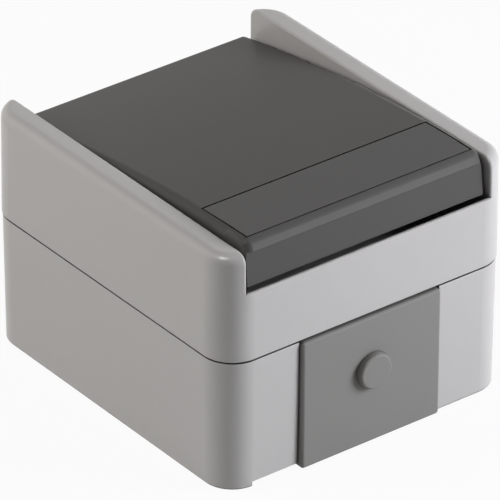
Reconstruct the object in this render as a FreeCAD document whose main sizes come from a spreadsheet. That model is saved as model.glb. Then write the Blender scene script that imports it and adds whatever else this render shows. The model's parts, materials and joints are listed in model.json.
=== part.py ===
import FreeCAD, Part
import math
import os
import re
import Sketcher

# Surface-mounted weatherproof rocker switch, in millimetres.
# Origin: middle of the flat wall face. +Z points away from the wall, -Y to the cable entry.
# The rocker stands with its front edge up, as it rests on its rear stop.

doc = FreeCAD.newDocument("weatherproof_switch")
sheet = doc.addObject("Spreadsheet::Sheet", "Dims")

sizes = {
    # housing outline
    "body_width": 66.0,
    "body_depth": 72.8,
    "corner_radius": 6.5,
    "split_height": 27.2,
    "split_gap": 0.36,
    "rim_round": 0.2,
    # base box
    "base_inset": 0.16,
    "base_draft": 0.63,
    "base_wall": 2.2,
    "floor_thickness": 2.4,
    "foot_round": 0.4,
    "drain_height": 1.1,
    "drain_depth": 3.0,
    "wall_screw_inset": 8.9,
    "wall_slot_width": 4.4,
    "wall_slot_length": 9.0,
    # cover frame
    "cover_draft": 0.43,
    "cover_wall": 2.4,
    "cheek_rise": 5.95,
    "cheek_round": 2.1,
    "cheek_edge": 0.4,
    "cheek_width": 5.05,
    "lip_thickness": 0.65,
    "lip_round": 0.3,
    "well_draft": 4.0,
    "deck_rise": 2.7,
    "deck_thickness": 2.1,
    "collar_wall": 1.5,
    "collar_height": 4.0,
    "collar_round": 2.25,
    # seal in the split
    "seal_width": 1.0,
    "seal_inset": 1.0,
    "seal_depth": 0.9,
    # cover screws, in two opposite corners
    "cover_screw_inset_x": 8.8,
    "boss_radius": 3.4,
    "screw_radius": 1.45,
    "screw_head_radius": 2.7,
    "screw_head_height": 1.8,
    "screw_slot_width": 0.8,
    "screw_slot_depth": 0.8,
    "screw_depth": 12.0,
    # cable membrane
    "plate_inset": 17.0,
    "plate_foot": 0.1,
    "plate_proud": 0.75,
    "plate_round": 0.7,
    "plate_edge_round": 0.63,
    "flange_overlap": 2.5,
    "flange_thickness": 1.6,
    "membrane_thickness": 1.0,
    "membrane_radius": 8.0,
    "pip_radius": 3.55,
    "pip_height": 1.5,
    "pip_round": 0.5,
    "pip_drop": 11.4,
    "guide_wall": 1.5,
    "guide_lip": 2.0,
    "guide_drop": 6.7,
    # rocker, measured from its pivot axis with the top level
    "pivot_rise": 11.5,
    "rocker_tilt": 5.8,
    "rocker_side_gap": 0.95,
    "rocker_front_inset": 1.1,
    "rocker_rear_inset": 0.9,
    "crown_height": 5.83,
    "crown_radius": 353.0,
    "roll_reach": 2.25,
    "roll_radius": 1.9,
    "roll_turn": 68.0,
    "brow_height": 1.85,
    "brow_gap": 0.712,
    "rear_round": 0.6,
    "side_round": 1.5,
    "skirt_inset": 1.7,
    "skirt_drop": 5.0,
    "skirt_wall": 1.7,
    "shell_thickness": 2.2,
    "rib_length": 24.0,
    "rib_thickness": 1.6,
    "rib_drop": 1.5,
    # label window
    "label_side_inset": 1.45,
    "label_front_inset": 1.9,
    "label_depth": 12.8,
    "label_thickness": 1.1,
    "label_gap": 0.3,
    "label_round": 0.12,
    # cradle, plunger and spring
    "hub_width": 27.0,
    "hub_depth": 18.0,
    "hub_drop": 2.5,
    "hub_gap": 0.15,
    "pin_radius": 2.0,
    "stem_radius": 3.6,
    "stem_drop": 16.5,
    "bore_top": 4.0,
    "plunger_radius": 2.0,
    "plunger_top": 9.0,
    "plunger_gap": 0.15,
    "spring_wire": 0.5,
    "spring_turns": 5.0,
    # mechanism block and its carriers
    "block_inset": 1.5,
    "block_depth": 42.0,
    "block_height": 14.0,
    "carrier_drop": 2.7,
    "carrier_thickness": 1.2,
    "carrier_end": 2.6,
    "carrier_clearance": 0.44,
    "carrier_depth": 17.0,
    "carrier_hole_x": 18.0,
    "carrier_hole_y": 13.0,
    "post_radius": 3.2,
    "mech_screw_depth": 8.0,
    "frame_margin": 4.5,
    "frame_depth": 27.0,
    "frame_thickness": 2.0,
    "frame_hole_x": 12.0,
    "frame_hole_y": 14.0,
    "ear_thickness": 3.0,
    "ear_clearance": 0.53,
    "ear_gap": 0.5,
    "deck_hole_gap": 1.5,
    "deck_hole_y": 21.0,
    "foam_wall": 2.0,
    "rivet_radius": 0.9,
    "rivet_head": 1.5,
    "rivet_head_height": 0.7,
    "rivet_depth": 4.0,
    # contacts and terminals
    "chamber_width": 8.0,
    "chamber_depth": 24.4,
    "strip_drop": 7.6,
    "strip_thickness": 1.0,
    "strip_width": 3.6,
    "fulcrum_rise": 2.6,
    "fulcrum_width": 6.0,
    "knife_radius": 0.6,
    "seesaw_tilt": 5.0,
    "seesaw_length": 21.2,
    "seesaw_width": 5.2,
    "seesaw_thickness": 1.2,
    "contact_reach": 9.0,
    "contact_radius": 1.5,
    "contact_height": 0.8,
    "contact_gap": 0.138,
    "terminal_inset_x": 8.0,
    "terminal_inset_y": 4.0,
    "cage_width": 6.8,
    "cage_depth": 6.8,
    "cage_wall": 1.2,
    "cage_drop": 11.1,
    "cage_height": 8.0,
    "cage_roof": 2.0,
    "clamp_screw_radius": 1.4,
    "clamp_head_radius": 2.2,
    "clamp_head_height": 1.6,
    # fits
    "run_clearance": 0.05,
    "slip_clearance": 0.1,
    "seat_clearance": 0.2,
    "hole_clearance": 0.35,
    # how far a cut runs past the face it opens
    "over_cut": 1.0,
}

# Lengths that follow from the sizes
follows = {
    # plan of the housing
    "base_half_x": "body_width / 2 - base_inset",
    "base_half_y": "body_depth / 2 - base_inset",
    "inner_half_y": "base_half_y - base_wall",
    "well_half_x": "body_width / 2 - cheek_width",
    "well_half_y": "body_depth / 2 - lip_thickness",
    "wall_screw_y": "body_depth / 2 - wall_screw_inset",
    # a hair over half the width, so that the round end has one solution
    "slot_end": "wall_slot_width / 2 * 1.0001",
    "cover_screw_x": "body_width / 2 - cover_screw_inset_x",
    "cover_screw_y": "body_depth / 2 - seal_inset - seal_width - boss_radius - seat_clearance",
    "plate_half_x": "body_width / 2 - plate_inset",
    "flange_half_x": "plate_half_x + flange_overlap",
    # plan and profile of the rocker
    "rocker_half_x": "well_half_x - rocker_side_gap",
    "rocker_front": "body_depth / 2 - rocker_front_inset",
    "rocker_rear": "body_depth / 2 - rocker_rear_inset",
    "skirt_reach": "body_depth / 2 - skirt_inset",
    "label_half_x": "rocker_half_x - label_side_inset",
    "label_front": "rocker_front - label_front_inset",
    "label_rear": "label_front - label_depth",
    "crown_centre": "crown_height - crown_radius",
    "brow_edge": "crown_centre + sqrt(crown_radius ^ 2 - rocker_rear ^ 2) - brow_height",
    "roll_y": "rocker_front - roll_reach",
    "roll_span": "crown_radius - roll_radius",
    "roll_z": "crown_centre + sqrt(roll_span ^ 2 - roll_y ^ 2)",
    "roll_tip_y": "roll_y + roll_radius * sin(roll_turn * 1 deg)",
    "roll_tip_z": "roll_z + roll_radius * cos(roll_turn * 1 deg)",
    "roll_edge": "roll_tip_z - (rocker_front - roll_tip_y) * tan(roll_turn * 1 deg)",
    "tangent_y": "roll_y * crown_radius / roll_span",
    # heights, from the split between box and cover
    "base_top": "split_height - split_gap / 2",
    "cover_bottom": "split_height + split_gap / 2",
    "guide_top": "split_height - guide_drop",
    "pip_level": "split_height - pip_drop",
    "deck_bottom": "split_height + deck_rise",
    "deck_top": "deck_bottom + deck_thickness",
    "pivot_height": "deck_top + pivot_rise",
    "brow_fall": "rocker_rear * sin(rocker_tilt * 1 deg) - brow_edge * cos(rocker_tilt * 1 deg)",
    "wall_top": "pivot_height - brow_fall - brow_gap",
    "cheek_top": "pivot_height + cheek_rise",
    "lip_face": "body_depth / 2 - tan(cover_draft * 1 deg) * (wall_top - cover_bottom)",
    # mechanism
    "carrier_seat": "split_height - carrier_drop",
    "carrier_top": "carrier_seat + carrier_thickness",
    "frame_top": "carrier_top + frame_thickness",
    "carrier_half_x": "base_half_x - base_wall - carrier_clearance",
    "mech_screw_x": "carrier_half_x - carrier_end",
    "ear_inner": "hub_width / 2 + ear_gap",
    "ear_outer": "ear_inner + ear_thickness",
    "ear_radius": "crown_height - shell_thickness - ear_clearance",
    "frame_width": "2 * (ear_outer + frame_margin)",
    "deck_hole_x": "2 * (ear_outer + deck_hole_gap)",
    "rivet_x": "frame_width / 2 - foam_wall - rivet_head - seat_clearance",
    "rivet_y": "ear_radius + rivet_head + slip_clearance",
    "block_width": "frame_width - 2 * block_inset",
    "block_bottom": "carrier_seat - block_height",
    "strip_level": "carrier_seat - strip_drop",
    "strip_top": "strip_level + strip_thickness",
    "fulcrum_level": "strip_top + fulcrum_rise",
    "contact_fall": "(contact_reach + contact_radius) * sin(seesaw_tilt * 1 deg) "
                    "+ contact_height * cos(seesaw_tilt * 1 deg)",
    "fixed_contact_height": "fulcrum_rise - contact_fall - contact_gap",
    "terminal_x": "block_width / 2 - terminal_inset_x",
    "terminal_y": "block_depth / 2 - terminal_inset_y",
    "cage_bottom": "carrier_seat - cage_drop",
    "cage_top": "cage_bottom + cage_height",
    "leg_width": "cage_width - 2 * cage_wall - 2 * seat_clearance",
    "bore_radius": "plunger_radius + run_clearance",
    "plunger_tip": "pivot_height - fulcrum_level - seesaw_thickness - plunger_gap",
}

cells = {name: str(size) for name, size in sizes.items()}
cells.update({name: "=" + formula for name, formula in follows.items()})
for row, (name, content) in enumerate(cells.items(), start=1):
    sheet.set("A%d" % row, name)
    sheet.set("B%d" % row, content)
    sheet.setAlias("B%d" % row, name)
doc.recompute()

edgeMargin = 0.1


def value(text):
    return float(sheet.evalExpression(text))


def bound(text):
    return re.sub(r"[a-z_]+", lambda m: "Dims." + m.group(0) if m.group(0) in cells else m.group(0), text)


def tie(thing, prop, text):
    thing.setExpression(prop, bound(text))


def crown(y, below="0"):
    return "(crown_centre + sqrt((crown_radius - %s) ^ 2 - (%s) ^ 2))" % (below, y)


# Bodies made of sketches and features

def newBody(name):
    body = doc.addObject("PartDesign::Body", name)
    body.Label = name
    return body


def newSketch(body, name, role, offset="0"):
    plane = [item for item in body.Origin.OriginFeatures if item.Role == role][0]
    sketch = body.newObject("Sketcher::SketchObject", body.Name + "_" + name)
    sketch.AttachmentSupport = [(plane, "")]
    sketch.MapMode = "FlatFace"
    tie(sketch, "AttachmentOffset.Base.z", offset)
    return sketch


def pin(sketch, item, end, x, y):
    for kind, text in (("DistanceX", x), ("DistanceY", y)):
        index = sketch.addConstraint(Sketcher.Constraint(kind, -1, 1, item, end, value(text)))
        tie(sketch, "Constraints[%d]" % index, text)


def setRadius(sketch, item, text):
    index = sketch.addConstraint(Sketcher.Constraint("Radius", item, value(text)))
    tie(sketch, "Constraints[%d]" % index, text)


def spot(x, y):
    return FreeCAD.Vector(value(x), value(y), 0)


def outline(sketch, corners):
    # Each corner is (x, y), or (x, y, radius, bulge) where an arc leads from it to the next corner.
    first = sketch.GeometryCount
    count = len(corners)
    for i, corner in enumerate(corners):
        a = spot(corner[0], corner[1])
        b = spot(*corners[(i + 1) % count][:2])
        if len(corner) == 2:
            sketch.addGeometry(Part.LineSegment(a, b))
            continue
        chord = b - a
        radius = value(corner[2])
        rise = radius - (radius ** 2 - (chord.Length / 2) ** 2) ** 0.5
        side = FreeCAD.Vector(-chord.y, chord.x, 0) / chord.Length * corner[3]
        sketch.addGeometry(Part.Arc(a, (a + b) / 2 + side * rise, b))
    ends = []
    for i in range(first, first + count):
        corner = spot(*corners[i - first][:2])
        start, end = sketch.getPoint(i, 1), sketch.getPoint(i, 2)
        flipped = start.distanceToPoint(corner) > end.distanceToPoint(corner)
        ends.append((2, 1) if flipped else (1, 2))
    for i in range(count):
        after = (i + 1) % count
        joint = Sketcher.Constraint("Coincident", first + i, ends[i][1], first + after, ends[after][0])
        sketch.addConstraint(joint)
    for i, corner in enumerate(corners):
        pin(sketch, first + i, ends[i][0], corner[0], corner[1])
        if len(corner) > 2:
            setRadius(sketch, first + i, corner[2])


def rectangle(sketch, x0, x1, y0, y1, radius=None):
    if radius is None:
        outline(sketch, [(x0, y0), (x1, y0), (x1, y1), (x0, y1)])
        return
    left, right = "%s + %s" % (x0, radius), "%s - (%s)" % (x1, radius)
    low, high = "%s + %s" % (y0, radius), "%s - (%s)" % (y1, radius)
    outline(sketch, [
        (left, y0), (right, y0, radius, -1), (x1, low), (x1, high, radius, -1),
        (right, y1), (left, y1, radius, -1), (x0, high), (x0, low, radius, -1)])


def centred(sketch, half_x, half_y, radius=None):
    rectangle(sketch, "-(%s)" % half_x, half_x, "-(%s)" % half_y, half_y, radius)


def inset(sketch, amount):
    # The housing outline, set in by an amount
    centred(sketch, "body_width / 2 - %s" % amount, "body_depth / 2 - %s" % amount,
            "(corner_radius - %s)" % amount)


def circle(sketch, x, y, radius):
    item = sketch.addGeometry(Part.Circle(spot(x, y), FreeCAD.Vector(0, 0, 1), value(radius)))
    pin(sketch, item, 3, x, y)
    setRadius(sketch, item, radius)


def feature(body, kind, sketch, length, both=False, flip=False, taper=None):
    made = body.newObject("PartDesign::" + kind, sketch.Name + "_" + kind)
    made.Profile = sketch
    made.Reversed = flip
    made.Midplane = both
    tie(made, "Length", length)
    if taper:
        tie(made, "TaperAngle", taper)
    before = body.Shape.Volume if not body.Shape.isNull() else 0.0
    doc.recompute()
    grew = made.Shape.Volume - before
    if (grew <= 0) == (kind == "Pad"):
        raise RuntimeError("%s changed nothing: %.3f" % (made.Name, grew))
    return made


def pad(body, sketch, length, **more):
    return feature(body, "Pad", sketch, length, **more)


def pocket(body, sketch, depth, **more):
    return feature(body, "Pocket", sketch, depth, **more)


def rounded(body, name, radius, chosen):
    # Rounds the edges for which chosen(edge) is true.
    tip = body.Tip
    names = ["Edge%d" % (i + 1) for i, edge in enumerate(tip.Shape.Edges) if chosen(edge)]
    if not names:
        raise RuntimeError("no edges for %s" % name)
    made = body.newObject("PartDesign::Fillet", body.Name + "_" + name)
    made.Base = (tip, names)
    tie(made, "Radius", radius)
    doc.recompute()
    if not made.isValid():
        raise RuntimeError("%s cannot be rounded" % made.Name)
    return made


def near(a, b, reach=0.02):
    return abs(a - b) < reach


def onCrown(edge):
    centre = value("crown_centre")
    return all(near(math.hypot(end.Y, end.Z - centre), value("crown_radius")) for end in edge.Vertexes)


def flatAt(edge, axis, level):
    box = edge.BoundBox
    low, high = getattr(box, axis + "Min"), getattr(box, axis + "Max")
    return near(low, level) and near(high, level)


# Pieces made of plain solids and booleans

def block(name, x0, x1, y0, y1, z0, z1):
    made = doc.addObject("Part::Box", name)
    for side, axis, low, high in (("Length", "x", x0, x1), ("Width", "y", y0, y1), ("Height", "z", z0, z1)):
        tie(made, side, "%s - (%s)" % (high, low))
        tie(made, "Placement.Base." + axis, low)
    return made


def rod(name, radius, x, y, z, length, turn=None):
    made = doc.addObject("Part::Cylinder", name)
    if turn:
        made.Placement = FreeCAD.Placement(FreeCAD.Vector(), FreeCAD.Rotation(FreeCAD.Vector(*turn), 90))
    tie(made, "Radius", radius)
    tie(made, "Height", length)
    for axis, text in (("x", x), ("y", y), ("z", z)):
        tie(made, "Placement.Base." + axis, text)
    return made


def joined(name, pieces):
    made = doc.addObject("Part::MultiFuse", name)
    made.Shapes = pieces
    made.Refine = True
    return made


def without(name, base, tools):
    made = doc.addObject("Part::Cut", name)
    made.Base = base
    made.Tool = tools[0] if len(tools) == 1 else joined(name + "_tools", tools)
    return made


def group(name, pieces):
    made = doc.addObject("Part::Compound", name)
    made.Links = pieces
    return made


def tilted(thing, height, angle):
    # Turns a piece that was drawn about its own axis and lifts it to that axis.
    thing.Placement = FreeCAD.Placement(FreeCAD.Vector(), FreeCAD.Rotation(FreeCAD.Vector(1, 0, 0), 1))
    tie(thing, "Placement.Rotation.Angle", angle)
    tie(thing, "Placement.Base.z", height)
    return thing


xTurn = (0, 1, 0)
yTurn = (-1, 0, 0)
sides = (1, -1)
coverScrews = [("%d * cover_screw_x" % side, "%d * cover_screw_y" % side) for side in sides]


# Base box

def makeBase():
    body = newBody("base_box")
    slope = "tan(base_draft * 1 deg) * base_top"
    shell = newSketch(body, "shell", "XY_Plane")
    centred(shell, "base_half_x - " + slope, "base_half_y - " + slope,
            "(corner_radius - base_inset - %s)" % slope)
    pad(body, shell, "base_top", taper="base_draft")
    top = value("base_top")
    rounded(body, "rim", "rim_round", lambda edge: flatAt(edge, "Z", top))
    rounded(body, "foot", "foot_round", lambda edge: flatAt(edge, "Z", 0))
    hollow = newSketch(body, "hollow", "XY_Plane", "base_top")
    centred(hollow, "base_half_x - base_wall", "inner_half_y", "(corner_radius - base_inset - base_wall)")
    pocket(body, hollow, "base_top - floor_thickness")
    posts = newSketch(body, "posts", "XY_Plane", "floor_thickness")
    for side in sides:
        circle(posts, "%d * mech_screw_x" % side, "0", "post_radius")
    pad(body, posts, "carrier_seat - floor_thickness")
    towers = newSketch(body, "towers", "XY_Plane", "floor_thickness")
    for x, y in coverScrews:
        circle(towers, x, y, "boss_radius")
    pad(body, towers, "base_top - floor_thickness")
    guides = newSketch(body, "guides", "XY_Plane", "floor_thickness")
    lipOuter = "flange_half_x + seat_clearance"
    back = "-(inner_half_y - flange_thickness - slip_clearance)"
    for side in sides:
        x = ["%d * (%s)" % (side, text) for text in (
            "%s + guide_wall" % lipOuter, lipOuter, "%s - guide_lip" % lipOuter)]
        front = "-(inner_half_y + base_wall / 2)"
        rear = "%s + guide_wall" % back
        outline(guides, [
            (x[0], front), (x[0], rear), (x[2], rear),
            (x[2], back), (x[1], back), (x[1], front)])
    pad(body, guides, "guide_top - floor_thickness")
    notch = newSketch(body, "notch", "XY_Plane", "base_top")
    rectangle(notch, "-(plate_half_x + seat_clearance)", "plate_half_x + seat_clearance",
              "-(body_depth / 2 + plate_proud)", "-inner_half_y")
    pocket(body, notch, "base_top")
    drain = newSketch(body, "drain", "XY_Plane")
    rectangle(drain, "-(body_width / 2 - corner_radius)", "-plate_half_x",
              "-(body_depth / 2 + over_cut)", "-(body_depth / 2 - drain_depth)")
    pocket(body, drain, "drain_height", flip=True)
    slots = newSketch(body, "slots", "XY_Plane", "floor_thickness")
    for side in sides:
        half = "wall_slot_width / 2"
        run = "(wall_slot_length - wall_slot_width) / 2"
        low = "%d * wall_screw_y - %s" % (side, run)
        high = "%d * wall_screw_y + %s" % (side, run)
        outline(slots, [
            (half, low), (half, high, "slot_end", -1),
            ("-" + half, high), ("-" + half, low, "slot_end", -1)])
    pocket(body, slots, "floor_thickness")
    drills = newSketch(body, "drills", "XY_Plane", "carrier_seat")
    for side in sides:
        circle(drills, "%d * mech_screw_x" % side, "0", "screw_radius + run_clearance")
    pocket(body, drills, "mech_screw_depth + slip_clearance")
    bores = newSketch(body, "bores", "XY_Plane", "base_top")
    for x, y in coverScrews:
        circle(bores, x, y, "screw_radius + run_clearance")
    pocket(body, bores, "screw_depth + slip_clearance")
    return body


# Cable membrane, drawn towards the front from the box's inner wall

def makeMembrane():
    body = newBody("cable_membrane")
    front = "(body_depth / 2 + plate_proud)"
    back = "(inner_half_y - flange_thickness)"
    top = "(base_top - slip_clearance)"
    flange = newSketch(body, "flange", "XZ_Plane", back)
    rectangle(flange, "-flange_half_x", "flange_half_x", "floor_thickness", top)
    pad(body, flange, "flange_thickness")
    plate = newSketch(body, "plate", "XZ_Plane", "inner_half_y")
    rectangle(plate, "-plate_half_x", "plate_half_x", "plate_foot", top, "plate_round")
    pad(body, plate, front + " - inner_half_y")
    rounded(body, "plate_edge", "plate_edge_round", lambda edge: flatAt(edge, "Y", -value(front)))
    pip = newSketch(body, "pip", "XZ_Plane", front)
    circle(pip, "0", "pip_level", "pip_radius")
    pad(body, pip, "pip_height")
    tip = -value(front + " + pip_height")
    rounded(body, "pip_edge", "pip_round", lambda edge: flatAt(edge, "Y", tip))
    thin = newSketch(body, "thin", "XZ_Plane", back)
    circle(thin, "0", "pip_level", "membrane_radius")
    pocket(body, thin, "%s - %s - membrane_thickness" % (front, back), flip=True)
    return body


# Seal ring in the split

def makeSeal():
    body = newBody("housing_seal")
    ring = newSketch(body, "ring", "XY_Plane", "base_top")
    inset(ring, "(seal_inset + run_clearance)")
    inset(ring, "(seal_inset + seal_width - run_clearance)")
    pad(body, ring, "cover_bottom + seal_depth - base_top")
    return body


# Cover frame

def makeCover():
    body = newBody("cover_frame")
    shell = newSketch(body, "shell", "XY_Plane", "cover_bottom")
    centred(shell, "body_width / 2", "body_depth / 2", "corner_radius")
    pad(body, shell, "cheek_top - cover_bottom", taper="-cover_draft")
    bottom = value("cover_bottom")
    rounded(body, "rim", "rim_round", lambda edge: flatAt(edge, "Z", bottom))
    channel = newSketch(body, "channel", "XY_Plane", "cheek_top")
    centred(channel, "well_half_x", "body_depth")
    pocket(body, channel, "cheek_top - wall_top")
    top = value("cheek_top")
    inner = value("well_half_x")
    rounded(body, "cheek_round", "cheek_round",
            lambda edge: flatAt(edge, "Z", top) and not near(abs(edge.CenterOfMass.x), inner))
    level = value("wall_top")
    rounded(body, "cheek_edge", "cheek_edge",
            lambda edge: (flatAt(edge, "X", inner) or flatAt(edge, "X", -inner))
            and edge.BoundBox.ZMax > level + edgeMargin)
    brink = newSketch(body, "brink", "YZ_Plane")
    for side in sides:
        face = "%d * lip_face" % side
        inside = "%d * (lip_face - lip_round)" % side
        outside = "%d * (lip_face + lip_round)" % side
        low, high = "wall_top - lip_round", "wall_top + lip_round"
        outline(brink, [
            (inside, "wall_top", "lip_round", side), (face, low),
            (outside, low), (outside, high), (inside, high)])
    pocket(body, brink, "2 * well_half_x", both=True)
    well = newSketch(body, "well", "XY_Plane", "wall_top")
    centred(well, "well_half_x", "well_half_y")
    pocket(body, well, "wall_top - deck_top", taper="-well_draft")
    under = newSketch(body, "under", "XY_Plane", "cover_bottom")
    inset(under, "cover_wall")
    pocket(body, under, "deck_bottom - cover_bottom", flip=True)
    groove = newSketch(body, "groove", "XY_Plane", "cover_bottom")
    inset(groove, "seal_inset")
    inset(groove, "(seal_inset + seal_width)")
    pocket(body, groove, "seal_depth", flip=True)
    bosses = newSketch(body, "bosses", "XY_Plane", "base_top")
    for x, y in coverScrews:
        circle(bosses, x, y, "boss_radius - seat_clearance")
    pad(body, bosses, "deck_bottom - base_top")
    collar = newSketch(body, "collar", "XY_Plane", "deck_top")
    centred(collar, "deck_hole_x / 2 + collar_wall", "deck_hole_y / 2 + collar_wall", "collar_round")
    pad(body, collar, "collar_height")
    window = newSketch(body, "window", "XY_Plane", "deck_top + collar_height")
    centred(window, "deck_hole_x / 2", "deck_hole_y / 2")
    pocket(body, window, "collar_height + deck_thickness")
    holes = newSketch(body, "holes", "XY_Plane", "deck_top")
    for x, y in coverScrews:
        circle(holes, x, y, "screw_radius + hole_clearance")
    pocket(body, holes, "deck_top - base_top")
    return body


# Rocker, label window: drawn level about the pivot axis

def makeRocker():
    body = newBody("rocker")
    side = newSketch(body, "side", "YZ_Plane")
    outline(side, [
        ("-skirt_reach", "-skirt_drop"),
        ("skirt_reach", "-skirt_drop"),
        ("skirt_reach", "brow_edge"),
        ("rocker_rear", "brow_edge"),
        ("rocker_rear", crown("rocker_rear"), "crown_radius", -1),
        ("-tangent_y", crown("tangent_y"), "roll_radius", -1),
        ("-roll_tip_y", "roll_tip_z"),
        ("-rocker_front", "roll_edge"),
        ("-skirt_reach", "roll_edge")])
    pad(body, side, "2 * rocker_half_x", both=True)
    half = value("rocker_half_x")
    lowest = value("roll_edge")
    reach = value("skirt_reach")
    rounded(body, "sides", "side_round", lambda edge: near(abs(edge.CenterOfMass.x), half)
            and edge.BoundBox.ZMax > lowest + edgeMargin and edge.CenterOfMass.y < reach)
    rear = value("rocker_rear")
    rounded(body, "rear_edge", "rear_round", lambda edge: flatAt(edge, "Y", rear)
            and edge.BoundBox.ZMax > value("brow_edge") + edgeMargin)
    cavity = newSketch(body, "cavity", "YZ_Plane")
    inside = "(skirt_reach - skirt_wall)"
    outline(cavity, [
        ("-" + inside, "-skirt_drop - over_cut"),
        (inside, "-skirt_drop - over_cut"),
        (inside, crown(inside, "shell_thickness"), "(crown_radius - shell_thickness)", -1),
        ("-" + inside, crown(inside, "shell_thickness"))])
    pocket(body, cavity, "2 * (rocker_half_x - skirt_wall)", both=True)
    recess = newSketch(body, "recess", "YZ_Plane")
    ends = ["-(label_front + label_gap)", "-(label_rear - label_gap)"]
    depth = "(label_thickness + slip_clearance)"
    outline(recess, [
        (ends[0], crown(ends[0], depth), "(crown_radius - %s)" % depth, 1),
        (ends[1], crown(ends[1], depth)),
        (ends[1], "crown_height + over_cut"),
        (ends[0], "crown_height + over_cut")])
    pocket(body, recess, "2 * (label_half_x + label_gap)", both=True)
    ribs = newSketch(body, "ribs", "XY_Plane", "-rib_drop")
    for way in sides:
        low = "%d * (hub_depth / 2 + slip_clearance)" % way
        high = "%d * (hub_depth / 2 + slip_clearance + rib_thickness)" % way
        ordered = (low, high) if way > 0 else (high, low)
        rectangle(ribs, "-rib_length / 2", "rib_length / 2", *ordered)
    pad(body, ribs, "rib_drop + crown_height - shell_thickness / 2")
    return tilted(body, "pivot_height", "-rocker_tilt")


def makeLabel():
    body = newBody("label_window")
    side = newSketch(body, "side", "YZ_Plane")
    outline(side, [
        ("-label_front", crown("label_front", "label_thickness"), "(crown_radius - label_thickness)", 1),
        ("-label_rear", crown("label_rear", "label_thickness")),
        ("-label_rear", crown("label_rear"), "crown_radius", -1),
        ("-label_front", crown("label_front"))])
    pad(body, side, "2 * label_half_x", both=True)
    rounded(body, "edge", "label_round", onCrown)
    return tilted(body, "pivot_height", "-rocker_tilt")


# Cradle, plunger and spring: drawn upright about the pivot axis

def makeCradle():
    roof = "%s - hub_gap" % crown("hub_depth / 2", "shell_thickness")
    hub = block("cradle_hub", "-hub_width / 2", "hub_width / 2", "-hub_depth / 2", "hub_depth / 2",
                "-hub_drop", roof)
    axle = rod("cradle_axle", "pin_radius", "-ear_outer", "0", "0", "2 * ear_outer", xTurn)
    stem = rod("cradle_stem", "stem_radius", "0", "0", "-stem_drop", "stem_drop")
    bore = rod("cradle_bore", "bore_radius", "0", "0", "-stem_drop", "stem_drop - bore_top")
    return tilted(without("rocker_cradle", joined("cradle_solid", [hub, axle, stem]), [bore]),
                  "pivot_height", "-rocker_tilt")


def makePlunger():
    nose = "(plunger_tip - plunger_radius)"
    shank = rod("plunger_shank", "plunger_radius", "0", "0", "-" + nose, "%s - plunger_top" % nose)
    tip = doc.addObject("Part::Sphere", "plunger_tip")
    tie(tip, "Radius", "plunger_radius")
    tie(tip, "Placement.Base.z", "-" + nose)
    return tilted(joined("plunger", [shank, tip]), "pivot_height", "-rocker_tilt")


def makeSpring():
    # Each half turn is a leaning half ring. The next one is the same ring, turned round and set higher.
    halves = round(value("2 * spring_turns"))
    radius = "(plunger_radius - slip_clearance - spring_wire / 2)"
    lowest = "(slip_clearance + spring_wire / 2 - plunger_top)"
    step = "((plunger_top - bore_top - 2 * slip_clearance - spring_wire) / %d)" % halves
    lean = "asin(%s / 2 / %s)" % (step, radius)
    rings = []
    for i in range(halves):
        ring = doc.addObject("Part::Torus", "spring_half_turn")
        ring.Angle3 = 180
        tie(ring, "Radius1", radius)
        tie(ring, "Radius2", "spring_wire / 2")
        if i % 2:
            ring.Placement.Rotation = FreeCAD.Rotation(FreeCAD.Vector(0, 0, 1), 180)
            tie(ring, "Placement.Rotation.Axis.x", "-sin(%s / 2)" % lean)
            tie(ring, "Placement.Rotation.Axis.z", "cos(%s / 2)" % lean)
        else:
            ring.Placement.Rotation = FreeCAD.Rotation(FreeCAD.Vector(0, 1, 0), 1)
            tie(ring, "Placement.Rotation.Angle", lean)
        tie(ring, "Placement.Base.z", "%s + %s * (%d + 1 / 2)" % (lowest, step, i))
        rings.append(ring)
    return tilted(joined("plunger_spring", rings), "pivot_height", "-rocker_tilt")


# Mechanism block with its contact chamber and terminal pockets

terminals = (("front", 1, -1), ("rear", 1, 1), ("common", -1, -1))


def legSpan(sx, sy, spare):
    x = sorted(("%d * (terminal_x - leg_width / 2 - %s)" % (sx, spare),
                "%d * (terminal_x + leg_width / 2 + %s)" % (sx, spare)), key=value)
    y = sorted(("%d * (contact_reach - strip_width / 2 - %s)" % (sy, spare),
                "%d * (terminal_y + cage_depth / 2 + %s)" % (sy, spare)), key=value)
    return x + y


def armSpan(name, sx, sy, spare):
    reach = "0" if name == "common" else "%d * contact_reach" % sy
    inner = "%d * (-fulcrum_width / 2 - %s)" % (sx, spare)
    outer = "%d * (terminal_x + leg_width / 2 + %s)" % (sx, spare)
    x = sorted((inner, outer), key=value)
    return x + ["%s - strip_width / 2 - %s" % (reach, spare), "%s + strip_width / 2 + %s" % (reach, spare)]


def commonLeg(spare):
    x = legSpan(-1, -1, spare)
    return x[:3] + ["strip_width / 2 + " + spare]


def stripSpans(name, sx, sy, spare):
    leg = commonLeg(spare) if name == "common" else legSpan(sx, sy, spare)
    return [armSpan(name, sx, sy, spare), leg]


def rivetHoles(name, level, length):
    return [rod(name, "rivet_radius + run_clearance", "%d * rivet_x" % sx, "%d * rivet_y" % sy, level, length)
            for sx in sides for sy in sides]


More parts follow.
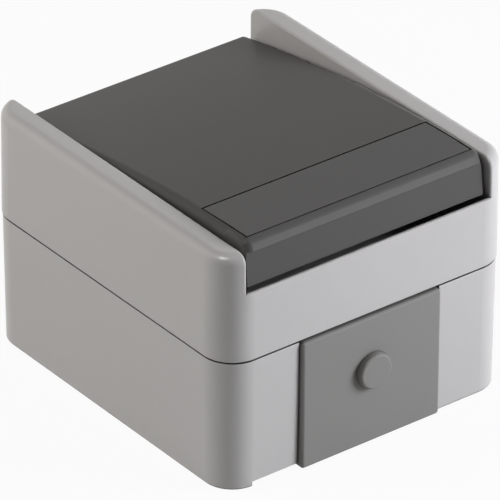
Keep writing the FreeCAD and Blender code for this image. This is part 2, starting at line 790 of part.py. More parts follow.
def makeBlock():
    solid = block("block_solid", "-block_width / 2", "block_width / 2", "-block_depth / 2", "block_depth / 2",
                  "block_bottom", "carrier_seat")
    over = "carrier_seat + over_cut"
    tools = [block("block_chamber", "-chamber_width / 2", "chamber_width / 2", "-chamber_depth / 2",
                   "chamber_depth / 2", "strip_level", over)]
    for name, sx, sy in terminals:
        for i, span in enumerate(stripSpans(name, sx, sy, "slip_clearance")):
            tools.append(block("block_%s_slot_%d" % (name, i), *span, "strip_level", over))
        x, y = "%d * terminal_x" % sx, "%d * terminal_y" % sy
        tools.append(block(
            "block_%s_pocket" % name,
            x + " - cage_width / 2 - slip_clearance", x + " + cage_width / 2 + slip_clearance",
            y + " - cage_depth / 2 - slip_clearance", y + " + cage_depth / 2 + slip_clearance",
            "cage_bottom", over))
        mouth = sorted((y, "%d * (block_depth / 2 + over_cut)" % sy), key=value)
        tools.append(block(
            "block_%s_mouth" % name,
            x + " - leg_width / 2 - slip_clearance", x + " + leg_width / 2 + slip_clearance",
            *mouth, "cage_bottom + cage_wall", "cage_top - cage_roof"))
    hole = "(rivet_depth + slip_clearance)"
    tools += rivetHoles("block_rivet_hole", "carrier_seat - " + hole, hole + " + over_cut")
    return without("mechanism_base", solid, tools)


def makeCarrier():
    plate = block("carrier_solid", "-carrier_half_x", "carrier_half_x", "-carrier_depth / 2",
                  "carrier_depth / 2", "carrier_seat", "carrier_top")
    tools = [block("carrier_window", "-carrier_hole_x / 2", "carrier_hole_x / 2", "-carrier_hole_y / 2",
                   "carrier_hole_y / 2", "carrier_seat", "carrier_top")]
    for side in sides:
        x = "%d * mech_screw_x" % side
        tools.append(rod("carrier_screw_hole", "screw_radius + hole_clearance", x, "0",
                         "carrier_seat", "carrier_thickness"))
    tools += rivetHoles("carrier_rivet_hole", "carrier_seat", "carrier_thickness")
    return without("carrier_plate", plate, tools)


def makeBearing():
    plate = block("bearing_plate", "-frame_width / 2", "frame_width / 2", "-frame_depth / 2",
                  "frame_depth / 2", "carrier_top", "frame_top")
    pieces = [plate]
    for side in sides:
        x0, x1 = sorted(("%d * ear_inner" % side, "%d * ear_outer" % side), key=value)
        pieces.append(block("bearing_ear", x0, x1, "-ear_radius", "ear_radius",
                            "carrier_top", "pivot_height"))
        pieces.append(rod("bearing_eye", "ear_radius", x0, "0", "pivot_height", "ear_thickness", xTurn))
    tools = [block("bearing_window", "-frame_hole_x / 2", "frame_hole_x / 2", "-frame_hole_y / 2",
                   "frame_hole_y / 2", "carrier_top", "frame_top"),
             rod("bearing_bore", "pin_radius + run_clearance", "-ear_outer - over_cut", "0",
                 "pivot_height", "2 * (ear_outer + over_cut)", xTurn)]
    tools += rivetHoles("bearing_rivet_hole", "carrier_top", "frame_thickness")
    return without("bearing_frame", joined("bearing_solid", pieces), tools)


def makeFoam():
    halfX, halfY = "frame_width / 2", "frame_depth / 2"
    solid = block("foam_solid", "-" + halfX, halfX, "-" + halfY, halfY, "frame_top", "deck_bottom")
    hole = block("foam_window", "-(%s - foam_wall)" % halfX, "%s - foam_wall" % halfX,
                 "-(%s - foam_wall)" % halfY, "%s - foam_wall" % halfY, "frame_top", "deck_bottom")
    return without("mechanism_seal", solid, [hole])


# Screws and rivets

def screw(name, x, y, seat, depth, shank, head, headHeight):
    body = joined(name + "_solid", [
        rod(name + "_head", head, x, y, seat, headHeight),
        rod(name + "_shank", shank, x, y, "%s - (%s)" % (seat, depth), depth)])
    top = "%s + %s" % (seat, headHeight)
    slot = block(name + "_slot", "%s - %s" % (x, head), "%s + %s" % (x, head),
                 y + " - screw_slot_width / 2", y + " + screw_slot_width / 2",
                 top + " - screw_slot_depth", top)
    return without(name, body, [slot])


def makeCoverScrews():
    depth = "deck_top - (base_top) + screw_depth"
    return group("cover_screws", [
        screw("cover_screw", x, y, "deck_top", depth, "screw_radius", "screw_head_radius",
              "screw_head_height") for x, y in coverScrews])


def makeMechScrews():
    return group("mechanism_screws", [
        screw("mechanism_screw", "%d * mech_screw_x" % side, "0", "carrier_top",
              "carrier_thickness + mech_screw_depth", "screw_radius", "screw_head_radius",
              "screw_head_height") for side in sides])


def makeRivets():
    made = []
    for sx in sides:
        for sy in sides:
            x, y = "%d * rivet_x" % sx, "%d * rivet_y" % sy
            made.append(joined("mechanism_rivet", [
                rod("rivet_shank", "rivet_radius", x, y, "carrier_seat - rivet_depth",
                    "rivet_depth + carrier_thickness + frame_thickness"),
                rod("rivet_head", "rivet_head", x, y, "frame_top", "rivet_head_height")]))
    return group("mechanism_rivets", made)


def makeClampScrews():
    return group("terminal_screws", [
        screw("terminal_screw", "%d * terminal_x" % sx, "%d * terminal_y" % sy, "cage_top",
              "cage_top - strip_top - slip_clearance", "clamp_screw_radius", "clamp_head_radius",
              "clamp_head_height") for name, sx, sy in terminals])


# Contacts

def makeStrips():
    made = []
    for name, sx, sy in terminals:
        pieces = [block("%s_strip_%d" % (name, i), *span, "strip_level", "strip_top")
                  for i, span in enumerate(stripSpans(name, sx, sy, "0"))]
        if name == "common":
            pieces.append(block("common_blade", "-fulcrum_width / 2", "fulcrum_width / 2", "-knife_radius",
                                "knife_radius", "strip_level", "fulcrum_level"))
            pieces.append(rod("common_knife", "knife_radius", "-fulcrum_width / 2", "0", "fulcrum_level",
                              "fulcrum_width", xTurn))
            made.append(joined("common_terminal", pieces))
        else:
            made.append(joined(name + "_contact_strip", pieces))
    return made


def makeSeesaw():
    blade = block("seesaw_blade", "-seesaw_width / 2", "seesaw_width / 2", "-seesaw_length / 2",
                  "seesaw_length / 2", "0", "seesaw_thickness")
    saddle = rod("seesaw_saddle", "knife_radius + run_clearance", "-seesaw_width", "0", "0",
                 "2 * seesaw_width", xTurn)
    return tilted(without("contact_seesaw", blade, [saddle]), "fulcrum_level", "seesaw_tilt")


def makeMovingContacts():
    buttons = [rod("moving_contact", "contact_radius", "0", "%d * contact_reach" % side, "-contact_height",
                   "contact_height") for side in sides]
    return tilted(group("moving_contacts", buttons), "fulcrum_level", "seesaw_tilt")


def makeFixedContacts():
    return group("fixed_contacts", [
        rod("fixed_contact", "contact_radius + slip_clearance", "0", "%d * contact_reach" % side, "strip_top",
            "fixed_contact_height") for side in sides])


def makeCages():
    made = []
    for name, sx, sy in terminals:
        x, y = "%d * terminal_x" % sx, "%d * terminal_y" % sy
        solid = block("cage_solid", x + " - cage_width / 2", x + " + cage_width / 2",
                      y + " - cage_depth / 2", y + " + cage_depth / 2", "cage_bottom", "cage_top")
        roof = "cage_top - cage_roof"
        room = block("cage_room", x + " - cage_width / 2 + cage_wall", x + " + cage_width / 2 - cage_wall",
                     y + " - cage_depth", y + " + cage_depth", "cage_bottom + cage_wall", roof)
        hole = rod("cage_hole", "clamp_screw_radius + run_clearance", x, y, roof, "cage_roof")
        made.append(without("terminal_cage", solid, [room, hole]))
    return group("terminal_cages", made)


pieces = [
    makeBase(), makeMembrane(), makeSeal(), makeCover(), makeCoverScrews(),
    makeRocker(), makeLabel(), makeCradle(), makePlunger(), makeSpring(),
    makeBlock(), makeCarrier(), makeBearing(), makeFoam(), makeMechScrews(), makeRivets(),
    makeSeesaw(), makeMovingContacts(), makeFixedContacts(), makeCages(), makeClampScrews(),
] + makeStrips()

doc.recompute()
for item in doc.Objects:
    if "Invalid" in item.State or "Error" in item.State:
        raise RuntimeError("%s did not build: %s" % (item.Name, item.State))

os.makedirs("parts", exist_ok=True)
for piece in pieces:
    if piece.Shape.isNull() or not piece.Shape.isValid():
        raise RuntimeError("%s has no sound shape" % piece.Label)
for piece in pieces:
    box = piece.Shape.optimalBoundingBox()
    print("%-20s solids %d  volume %9.2f  x %.2f..%.2f  y %.2f..%.2f  z %.2f..%.2f" % (
        piece.Label, len(piece.Shape.Solids), piece.Shape.Volume, box.XMin, box.XMax, box.YMin, box.YMax,
        box.ZMin, box.ZMax))
    piece.Shape.exportStep("parts/%s.step" % piece.Label)
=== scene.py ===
import json
import math

import bpy
from mathutils import Matrix, Vector


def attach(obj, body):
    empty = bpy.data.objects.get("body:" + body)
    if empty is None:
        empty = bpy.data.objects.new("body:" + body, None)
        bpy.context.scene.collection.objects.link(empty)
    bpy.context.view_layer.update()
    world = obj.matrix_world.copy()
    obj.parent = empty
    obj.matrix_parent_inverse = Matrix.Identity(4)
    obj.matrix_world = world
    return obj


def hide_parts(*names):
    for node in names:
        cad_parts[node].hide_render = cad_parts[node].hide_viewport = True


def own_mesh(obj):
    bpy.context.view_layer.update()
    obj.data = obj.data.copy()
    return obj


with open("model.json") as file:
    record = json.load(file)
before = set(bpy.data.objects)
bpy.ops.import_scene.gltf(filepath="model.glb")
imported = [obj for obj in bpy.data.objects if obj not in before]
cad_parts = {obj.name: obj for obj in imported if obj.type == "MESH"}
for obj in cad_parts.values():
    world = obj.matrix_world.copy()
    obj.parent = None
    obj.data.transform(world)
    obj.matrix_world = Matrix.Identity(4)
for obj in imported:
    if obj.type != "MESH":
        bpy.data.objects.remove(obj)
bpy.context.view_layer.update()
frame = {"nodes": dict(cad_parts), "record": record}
nodes = frame["nodes"]
scene = bpy.context.scene
print("frame loaded,", len(nodes), "nodes")

# shader node helpers


def newGroup(name, inputs, outputs):
    group = bpy.data.node_groups.new(name, "ShaderNodeTree")
    for label, kind, value in inputs:
        socket = group.interface.new_socket(name=label, in_out="INPUT", socket_type=kind)
        socket.default_value = value
    for label, kind in outputs:
        group.interface.new_socket(name=label, in_out="OUTPUT", socket_type=kind)
    start = group.nodes.new("NodeGroupInput")
    start.location = (-900, 0)
    end = group.nodes.new("NodeGroupOutput")
    end.location = (700, 0)
    return group, start, end


def addNode(tree, kind, x, y, **settings):
    node = tree.nodes.new(kind)
    node.location = (x, y)
    for key, value in settings.items():
        setattr(node, key, value)
    return node


def mathNode(tree, operation, a, b, x, y):
    node = addNode(tree, "ShaderNodeMath", x, y, operation=operation)
    for i, item in enumerate((a, b)):
        if isinstance(item, (int, float)):
            node.inputs[i].default_value = item
        else:
            tree.links.new(item, node.inputs[i])
    return node.outputs[0]


def rangeNode(tree, value, low, high, toLow, toHigh, x, y):
    node = addNode(tree, "ShaderNodeMapRange", x, y, interpolation_type="SMOOTHSTEP")
    tree.links.new(value, node.inputs["Value"])
    for label, item in (("From Min", low), ("From Max", high), ("To Min", toLow), ("To Max", toHigh)):
        if isinstance(item, (int, float)):
            node.inputs[label].default_value = item
        else:
            tree.links.new(item, node.inputs[label])
    return node.outputs["Result"]


def noiseNode(tree, coords, scale, detail, x, y, rough=0.5):
    node = addNode(tree, "ShaderNodeTexNoise", x, y)
    tree.links.new(coords, node.inputs["Vector"])
    if isinstance(scale, (int, float)):
        node.inputs["Scale"].default_value = scale
    else:
        tree.links.new(scale, node.inputs["Scale"])
    node.inputs["Detail"].default_value = detail
    node.inputs["Roughness"].default_value = rough
    return node.outputs["Fac"]


def mixNode(tree, factor, a, b, x, y):
    node = addNode(tree, "ShaderNodeMix", x, y, data_type="RGBA")
    tree.links.new(factor, node.inputs["Factor"])
    for i, item in ((6, a), (7, b)):  # the two colour sockets
        if isinstance(item, tuple):
            node.inputs[i].default_value = (*item, 1.0)
        else:
            tree.links.new(item, node.inputs[i])
    return node.outputs[2]


# spark-eroded mould grain: a fine pebble height with a soft, slow waviness under it
grainShape = {"smoothness": 0.6, "fineDetail": 3.0, "waveDetail": 1.0}


def makeMouldGrain():
    group, start, end = newGroup("mouldGrain", [
        ("Grain Scale", "NodeSocketFloat", 5200.0),
        ("Wave Scale", "NodeSocketFloat", 90.0),
        ("Wave Share", "NodeSocketFloat", 0.3),
    ], [("Height", "NodeSocketFloat")])
    coords = addNode(group, "ShaderNodeTexCoord", -900, 300).outputs["Object"]
    pebble = addNode(group, "ShaderNodeTexVoronoi", -600, 250, feature="SMOOTH_F1")
    group.links.new(coords, pebble.inputs["Vector"])
    group.links.new(start.outputs["Grain Scale"], pebble.inputs["Scale"])
    pebble.inputs["Smoothness"].default_value = grainShape["smoothness"]
    fine = noiseNode(group, coords, start.outputs["Grain Scale"], grainShape["fineDetail"], -600, 0)
    wave = noiseNode(group, coords, start.outputs["Wave Scale"], grainShape["waveDetail"], -600, -250)
    grain = mathNode(group, "MULTIPLY", pebble.outputs["Distance"], fine, -350, 150)
    slow = mathNode(group, "MULTIPLY", wave, start.outputs["Wave Share"], -350, -200)
    height = mathNode(group, "ADD", grain, slow, -100, 50)
    group.links.new(height, end.inputs["Height"])
    return group


# tone and gloss drift: flow marks, handling and a little settled dust on what faces up
driftShape = {
    "fineRatio": 14.0, "driftRough": 0.55, "smearRough": 0.6, "levelFrom": 0.6, "speckFrom": 0.5, "speckTo": 0.72,
    "dustColour": (0.62, 0.6, 0.57),
}


def makeToneDrift():
    group, start, end = newGroup("toneDrift", [
        ("Colour", "NodeSocketColor", (0.5, 0.5, 0.5, 1.0)),
        ("Colour Spread", "NodeSocketFloat", 0.04),
        ("Rough", "NodeSocketFloat", 0.4),
        ("Rough Spread", "NodeSocketFloat", 0.08),
        ("Drift Scale", "NodeSocketFloat", 45.0),
        ("Dust", "NodeSocketFloat", 0.03),
    ], [("Colour", "NodeSocketColor"), ("Rough", "NodeSocketFloat")])
    coords = addNode(group, "ShaderNodeTexCoord", -900, 300).outputs["Object"]
    drift = noiseNode(group, coords, start.outputs["Drift Scale"], 4.0, -600, 250, driftShape["driftRough"])
    fineScale = mathNode(group, "MULTIPLY", start.outputs["Drift Scale"], driftShape["fineRatio"], -800, 0)
    smear = noiseNode(group, coords, fineScale, 3.0, -600, 0, driftShape["smearRough"])
    both = mathNode(group, "MULTIPLY", mathNode(group, "ADD", drift, smear, -420, 150), 0.5, -260, 150)
    signed = mathNode(group, "SUBTRACT", both, 0.5, -100, 150)
    gain = mathNode(group, "MULTIPLY", signed, start.outputs["Colour Spread"], 60, 220)
    bright = mathNode(group, "ADD", gain, 1.0, 200, 220)
    toned = addNode(group, "ShaderNodeVectorMath", 340, 260, operation="SCALE")
    group.links.new(start.outputs["Colour"], toned.inputs[0])
    group.links.new(bright, toned.inputs["Scale"])
    normal = addNode(group, "ShaderNodeNewGeometry", -600, -250).outputs["Normal"]
    up = addNode(group, "ShaderNodeSeparateXYZ", -420, -250)
    group.links.new(normal, up.inputs[0])
    facing = rangeNode(group, up.outputs["Z"], driftShape["levelFrom"], 1.0, 0.0, 1.0, -260, -250)
    specks = rangeNode(group, smear, driftShape["speckFrom"], driftShape["speckTo"], 0.0, 1.0, -260, -60)
    dust = mathNode(group, "MULTIPLY", mathNode(group, "MULTIPLY", facing, specks, -60, -200),
                    start.outputs["Dust"], 120, -200)
    dusted = mixNode(group, dust, toned.outputs[0], driftShape["dustColour"], 520, 200)
    group.links.new(dusted, end.inputs["Colour"])
    swing = mathNode(group, "MULTIPLY", signed, start.outputs["Rough Spread"], 120, -20)
    group.links.new(mathNode(group, "ADD", start.outputs["Rough"], swing, 340, -20), end.inputs["Rough"])
    return group


# mask of the outer edges, where handling polishes a moulding and brightens plated metal, and where the label's
# edges get a painted highlight
edgeShape = {"samples": 4, "turnFrom": 0.75, "turnTo": 0.995, "breakFrom": 0.35, "breakTo": 0.7, "leastPatch": 0.2}


def makeEdgeWearAndHighlight():
    group, start, end = newGroup("edgeWearAndHighlightMask", [
        ("Radius", "NodeSocketFloat", 0.0004),
        ("Break Scale", "NodeSocketFloat", 700.0),
    ], [("Edge", "NodeSocketFloat")])
    coords = addNode(group, "ShaderNodeTexCoord", -900, 300).outputs["Object"]
    soft = addNode(group, "ShaderNodeBevel", -600, 200, samples=edgeShape["samples"])
    group.links.new(start.outputs["Radius"], soft.inputs["Radius"])
    flat = addNode(group, "ShaderNodeNewGeometry", -600, 0)
    near = addNode(group, "ShaderNodeVectorMath", -400, 150, operation="DOT_PRODUCT")
    group.links.new(soft.outputs["Normal"], near.inputs[0])
    group.links.new(flat.outputs["Normal"], near.inputs[1])
    turned = rangeNode(group, near.outputs["Value"], edgeShape["turnFrom"], edgeShape["turnTo"], 1.0, 0.0,
                       -200, 150)
    broken = noiseNode(group, coords, start.outputs["Break Scale"], 3.0, -400, -150)
    patch = rangeNode(group, broken, edgeShape["breakFrom"], edgeShape["breakTo"], edgeShape["leastPatch"], 1.0,
                      -200, -150)
    group.links.new(mathNode(group, "MULTIPLY", turned, patch, 200, 0), end.inputs["Edge"])
    return group


# brushed or drawn metal: fine streaks along one axis
def makeDrawnLines():
    group, start, end = newGroup("drawnLines", [
        ("Stretch", "NodeSocketVector", (900.0, 14000.0, 14000.0)),
        ("Rough", "NodeSocketFloat", 0.3),
        ("Rough Spread", "NodeSocketFloat", 0.2),
    ], [("Height", "NodeSocketFloat"), ("Rough", "NodeSocketFloat")])
    coords = addNode(group, "ShaderNodeTexCoord", -900, 300).outputs["Object"]
    stretched = addNode(group, "ShaderNodeVectorMath", -700, 200, operation="MULTIPLY")
    group.links.new(coords, stretched.inputs[0])
    group.links.new(start.outputs["Stretch"], stretched.inputs[1])
    lines = noiseNode(group, stretched.outputs[0], 1.0, 3.0, -450, 200, 0.6)
    group.links.new(lines, end.inputs["Height"])
    signed = mathNode(group, "SUBTRACT", lines, 0.5, -200, 0)
    swing = mathNode(group, "MULTIPLY", signed, start.outputs["Rough Spread"], 0, 0)
    group.links.new(mathNode(group, "ADD", start.outputs["Rough"], swing, 200, 0), end.inputs["Rough"])
    return group


# mask of the narrow seams between pieces, where no light gets in: it drives a painted shade there
def makeSeamShade():
    group, start, end = newGroup("paintedSeamShade", [
        ("Reach", "NodeSocketFloat", 0.0006),
        ("Open", "NodeSocketFloat", 0.85),
        ("Closed", "NodeSocketFloat", 0.5),
    ], [("Seam", "NodeSocketFloat")])
    shade = addNode(group, "ShaderNodeAmbientOcclusion", -600, 100, samples=8)
    group.links.new(start.outputs["Reach"], shade.inputs["Distance"])
    mask = rangeNode(group, shade.outputs["AO"], start.outputs["Closed"], start.outputs["Open"], 1.0, 0.0,
                     -200, 100)
    group.links.new(mask, end.inputs["Seam"])
    return group


groups = {
    "mouldGrain": makeMouldGrain(),
    "toneDrift": makeToneDrift(),
    "edgeWearAndHighlightMask": makeEdgeWearAndHighlight(),
    "drawnLines": makeDrawnLines(),
    "paintedSeamShade": makeSeamShade(),
}
print("node groups made:", ", ".join(groups))


def placeGroup(tree, name, x, y, **values):
    node = addNode(tree, "ShaderNodeGroup", x, y)
    node.node_tree = groups[name]
    for key, value in values.items():
        node.inputs[key.replace("_", " ")].default_value = value
    return node


def newMaterial(name):
    material = bpy.data.materials.new(name)
    material.use_nodes = True
    tree = material.node_tree
    return material, tree, tree.nodes["Principled BSDF"]


def addBump(tree, shader, height, strength, distance):
    bump = addNode(tree, "ShaderNodeBump", -250, -350)
    bump.inputs["Strength"].default_value = strength
    bump.inputs["Distance"].default_value = distance
    tree.links.new(height, bump.inputs["Height"])
    tree.links.new(bump.outputs["Normal"], shader.inputs["Normal"])


# moulded plastic or rubber
def makeMoulding(name, look):
    material, tree, shader = newMaterial(name)
    tone = placeGroup(tree, "toneDrift", -900, 200, Colour=(*look["colour"], 1.0), Colour_Spread=look["spread"],
                      Rough=look["rough"], Rough_Spread=look["roughSpread"], Drift_Scale=look["driftScale"],
                      Dust=look["dust"])
    edgeWearAndHighlightNode = placeGroup(tree, "edgeWearAndHighlightMask", -900, -150, Radius=look["edgeRadius"])
    # lighter edges: wear on the housing and rocker, a painted highlight on the label
    edgeWearAndHighlightShare = mathNode(tree, "MULTIPLY", edgeWearAndHighlightNode.outputs["Edge"], look["edgeShare"], -650, 50)
    edgeWornAndHighlit = mixNode(tree, edgeWearAndHighlightShare, tone.outputs["Colour"], look["edgeColour"], -450, 250)
    # painted shade: the seam mask mixes the base colour towards near black in the narrow gaps between pieces
    seam = placeGroup(tree, "paintedSeamShade", -900, 450, Reach=look["seamReach"], Open=look["seamOpen"])
    paintedShade = mathNode(tree, "MULTIPLY", seam.outputs["Seam"], look["seamShare"], -650, 450)
    tree.links.new(mixNode(tree, paintedShade, edgeWornAndHighlit, look["seamShadeColour"], -250, 300), shader.inputs["Base Color"])
    polish = mathNode(tree, "MULTIPLY", edgeWearAndHighlightNode.outputs["Edge"], look["edgePolish"], -650, -100)
    tree.links.new(mathNode(tree, "SUBTRACT", tone.outputs["Rough"], polish, -450, 0), shader.inputs["Roughness"])
    shader.inputs["Specular IOR Level"].default_value = look["specular"]
    grain = placeGroup(tree, "mouldGrain", -900, -350, Grain_Scale=look["grainScale"],
                       Wave_Scale=look["waveScale"], Wave_Share=look["waveShare"])
    addBump(tree, shader, grain.outputs["Height"], look["bump"], look["bumpDepth"])
    return material


# plated or drawn metal
def makeMetal(name, look):
    material, tree, shader = newMaterial(name)
    tone = placeGroup(tree, "toneDrift", -900, 200, Colour=(*look["colour"], 1.0), Colour_Spread=look["spread"],
                      Drift_Scale=look["driftScale"], Dust=0.0)
    edgeWearAndHighlightNode = placeGroup(tree, "edgeWearAndHighlightMask", -900, -150, Radius=look["edgeRadius"])
    edgeWornAndHighlit = mixNode(tree, edgeWearAndHighlightNode.outputs["Edge"], tone.outputs["Colour"], look["edgeColour"], -450, 250)
    tree.links.new(edgeWornAndHighlit, shader.inputs["Base Color"])
    shader.inputs["Metallic"].default_value = 1.0
    lines = placeGroup(tree, "drawnLines", -900, -350, Stretch=look["stretch"], Rough=look["rough"],
                       Rough_Spread=look["roughSpread"])
    tree.links.new(lines.outputs["Rough"], shader.inputs["Roughness"])
    addBump(tree, shader, lines.outputs["Height"], look["bump"], look["bumpDepth"])
    return material


# what each finish looks like
housingGrey = {
    "colour": (0.45, 0.437, 0.431), "spread": 0.05, "rough": 0.36, "roughSpread": 0.12, "driftScale": 40.0,
    "dust": 0.02, "edgeRadius": 0.0005, "edgeShare": 0.12, "edgeColour": (0.62, 0.62, 0.61), "edgePolish": 0.08,
    # the seam values set the painted shade in the gaps between pieces
    "seamReach": 0.001, "seamOpen": 0.92, "seamShare": 0.95, "seamShadeColour": (0.022, 0.021, 0.02),
    "specular": 0.5, "grainScale": 5200.0, "waveScale": 70.0, "waveShare": 0.25, "bump": 0.22,
    "bumpDepth": 0.00004,
}
rockerGrey = {
    **housingGrey, "colour": (0.089, 0.0855, 0.083), "spread": 0.05, "rough": 0.33, "specular": 0.07,
    "edgeColour": (0.13, 0.128, 0.126), "seamShadeColour": (0.008, 0.008, 0.008), "dust": 0.006, "bump": 0.12,
    "seamOpen": 0.85, "roughSpread": 0.08, "edgePolish": 0.02,
}
# the label's lighter edge line is a painted highlight, laid on through the edge mask
labelGrey = {
    **rockerGrey, "colour": (0.1, 0.0965, 0.0955), "rough": 0.32, "grainScale": 7600.0, "bump": 0.08,
    "edgeRadius": 0.00025, "edgeShare": 0.5, "edgeColour": (0.2, 0.196, 0.19),
}
entryRubber = {
    **housingGrey, "colour": (0.203, 0.198, 0.19), "spread": 0.07, "rough": 0.58, "edgeShare": 0.05,
    "edgeColour": (0.23, 0.225, 0.215), "seamReach": 0.0006, "seamShare": 0.6, "specular": 0.4,
    "grainScale": 4200.0, "bump": 0.25,
}
sealRubber = {
    **entryRubber, "colour": (0.018, 0.018, 0.018), "rough": 0.7, "edgeColour": (0.05, 0.05, 0.05),
}
blockPlastic = {
    **housingGrey, "colour": (0.62, 0.6, 0.55), "rough": 0.5, "edgeColour": (0.7, 0.68, 0.63),
}
cradlePlastic = {
    **housingGrey, "colour": (0.72, 0.71, 0.68), "rough": 0.46, "edgeColour": (0.78, 0.77, 0.75),
}
zincSteel = {
    "colour": (0.56, 0.565, 0.57), "spread": 0.2, "rough": 0.34, "roughSpread": 0.25, "driftScale": 160.0,
    "edgeRadius": 0.00025, "edgeColour": (0.72, 0.72, 0.72), "stretch": (900.0, 16000.0, 16000.0),
    "bump": 0.2, "bumpDepth": 0.00002,
}
pressedBrass = {
    **zincSteel, "colour": (0.68, 0.47, 0.19), "rough": 0.3, "edgeColour": (0.8, 0.6, 0.3),
    "stretch": (16000.0, 900.0, 16000.0),
}
contactSilver = {
    **zincSteel, "colour": (0.78, 0.77, 0.74), "rough": 0.22, "edgeColour": (0.86, 0.85, 0.82),
}

finishes = {
    "housing_plastic": makeMoulding("housingGrey", housingGrey),
    "rocker_plastic": makeMoulding("rockerGrey", rockerGrey),
    "label_plastic": makeMoulding("labelGrey", labelGrey),
    "entry_rubber": makeMoulding("entryRubber", entryRubber),
    "seal_rubber": makeMoulding("sealRubber", sealRubber),
    "mechanism_plastic": makeMoulding("blockPlastic", blockPlastic),
    "cradle_plastic": makeMoulding("cradlePlastic", cradlePlastic),
    "steel": makeMetal("zincSteel", zincSteel),
    "brass": makeMetal("pressedBrass", pressedBrass),
    "contact_silver": makeMetal("contactSilver", contactSilver),
}
for entry in frame["record"]["subparts"]:
    part = nodes[entry["node"]]
    part.data.materials.clear()
    part.data.materials.append(finishes[entry["material_slot"]])

# the spring's coil gets a mesh of its own, which rides on the rocker
spring = {"node": "plunger_spring", "joint": "plunger_slide", "body": "rocker", "slot": "steel"}


def makeSpring():
    mesh = nodes[spring["node"]].data.copy()
    coil = bpy.data.objects.new("springCoil", mesh)
    scene.collection.objects.link(coil)
    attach(coil, spring["body"])
    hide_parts(spring["node"])
    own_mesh(coil)


makeSpring()

# floor, world and lamps
stage = {
    "floorHalf": 3.0, "floorDrop": 0.0002, "floorColour": (0.58, 0.58, 0.58), "floorRough": 0.9, "floorGlow": 0.94,
    "skyFrom": (0.61, 0.79, 0.0), "skyNear": 0.02, "skyFar": 0.16, "lampAim": (0.0, 0.0, 0.025),
}
# two lamps shade the part, and two small ones only put highlights on its round edges
lamps = {
    "frontRight": {
        "at": (0.285, -0.3, 0.171), "size": 0.22, "watts": 2.36, "tint": (0.94, 0.955, 1.0),
        "shades": True, "glints": False,
    },
    "rearLeft": {
        "at": (-0.42, 0.28, 0.35), "size": 0.5, "watts": 2.55, "tint": (1.0, 0.985, 0.945),
        "shades": True, "glints": False,
    },
    "edgeGlint": {
        "at": (0.314, -0.514, 0.209), "size": 0.09, "watts": 1.05, "tint": (1.0, 1.0, 1.0),
        "shades": False, "glints": True,
    },
    "cornerGlint": {
        "at": (-0.459, -0.116, 0.588), "size": 0.06, "watts": 3.2, "tint": (1.0, 1.0, 1.0),
        "shades": False, "glints": True,
    },
}


def seenFactor(tree, x, y):
    path = addNode(tree, "ShaderNodeLightPath", x, y)
    seen = mathNode(tree, "MAXIMUM", path.outputs["Is Camera Ray"], path.outputs["Is Glossy Ray"], x + 200, y)
    return mathNode(tree, "MAXIMUM", seen, path.outputs["Is Transmission Ray"], x + 400, y)


def makeFloor():
    half = stage["floorHalf"]
    mesh = bpy.data.meshes.new("floor")
    mesh.from_pydata([(-half, -half, 0), (half, -half, 0), (half, half, 0), (-half, half, 0)], [], [(0, 1, 2, 3)])
    floor = bpy.data.objects.new("floor", mesh)
    floor.location.z = -stage["floorDrop"]
    scene.collection.objects.link(floor)
    material, tree, shader = newMaterial("floorPaper")
    shader.inputs["Base Color"].default_value = (*stage["floorColour"], 1.0)
    shader.inputs["Roughness"].default_value = stage["floorRough"]
    glow = addNode(tree, "ShaderNodeEmission", 100, 300)
    mixed = addNode(tree, "ShaderNodeMixShader", 400, 100)
    share = mathNode(tree, "MULTIPLY", seenFactor(tree, -700, 300), stage["floorGlow"], 0, 500)
    tree.links.new(share, mixed.inputs[0])
    tree.links.new(shader.outputs[0], mixed.inputs[1])
    tree.links.new(glow.outputs[0], mixed.inputs[2])
    tree.links.new(mixed.outputs[0], tree.nodes["Material Output"].inputs["Surface"])
    mesh.materials.append(material)


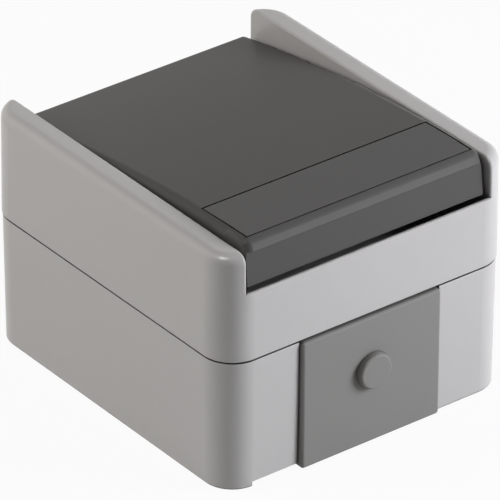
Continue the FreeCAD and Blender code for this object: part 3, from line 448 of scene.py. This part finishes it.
def makeWorld():
    world = bpy.data.worlds.new("studio")
    scene.world = world
    world.use_nodes = True
    tree = world.node_tree
    sky = tree.nodes["Background"]
    white = addNode(tree, "ShaderNodeBackground", 0, -150)
    coords = addNode(tree, "ShaderNodeTexCoord", -900, 100)
    away = addNode(tree, "ShaderNodeVectorMath", -700, 100, operation="DOT_PRODUCT")
    tree.links.new(coords.outputs["Generated"], away.inputs[0])
    away.inputs[1].default_value = stage["skyFrom"]
    level = rangeNode(tree, away.outputs["Value"], -1.0, 1.0, stage["skyNear"], stage["skyFar"], -450, 100)
    tree.links.new(level, sky.inputs["Strength"])
    sky.inputs["Color"].default_value = (1.0, 1.0, 1.0, 1.0)
    white.inputs["Color"].default_value = (1.0, 1.0, 1.0, 1.0)
    mixed = addNode(tree, "ShaderNodeMixShader", 250, 0)
    tree.links.new(seenFactor(tree, -600, 400), mixed.inputs[0])
    tree.links.new(sky.outputs[0], mixed.inputs[1])
    tree.links.new(white.outputs[0], mixed.inputs[2])
    tree.links.new(mixed.outputs[0], tree.nodes["World Output"].inputs["Surface"])


def makeLamp(name, setting):
    light = bpy.data.lights.new(name, "AREA")
    light.shape = "DISK"
    light.size = setting["size"]
    light.energy = setting["watts"]
    light.color = setting["tint"]
    lamp = bpy.data.objects.new(name, light)
    lamp.location = setting["at"]
    lamp.visible_diffuse = setting["shades"]
    lamp.visible_glossy = setting["glints"]  # a wide low lamp would whiten the rocker from behind
    aim = Vector(stage["lampAim"]) - lamp.location
    lamp.rotation_euler = aim.to_track_quat("-Z", "Y").to_euler()
    scene.collection.objects.link(lamp)


makeFloor()
makeWorld()
for name, setting in lamps.items():
    makeLamp(name, setting)
scene.view_settings.view_transform = "Standard"
print("stage lit by", len(lamps), "lamps")

# camera at the photograph's angle, degrees and metres
view = {
    "azimuth": 37.604, "elevation": 30.996, "roll": 0.201, "distance": 1.2984, "target": (0.0, 0.0, 0.02525),
    "across": 0.0003639, "down": 0.0017231, "lens": 505.7, "sensor": 36.0,
}


def makeCamera():
    turn, lift, roll = (math.radians(view[key]) for key in ("azimuth", "elevation", "roll"))
    right = Vector((math.cos(turn), -math.sin(turn), 0.0))
    up = Vector((math.sin(lift) * math.sin(turn), math.sin(lift) * math.cos(turn), math.cos(lift)))
    back = right.cross(up)
    sideways = right * math.cos(roll) + up * math.sin(roll)
    upright = up * math.cos(roll) - right * math.sin(roll)
    data = bpy.data.cameras.new("photoCamera")
    data.lens = view["lens"]
    data.sensor_width = view["sensor"]
    camera = bpy.data.objects.new("photoCamera", data)
    place = Vector(view["target"]) + sideways * view["across"] - upright * view["down"] + back * view["distance"]
    camera.matrix_world = Matrix((sideways, upright, back)).transposed().to_4x4()
    camera.location = place
    scene.collection.objects.link(camera)
    scene.camera = camera


makeCamera()
print("camera set")
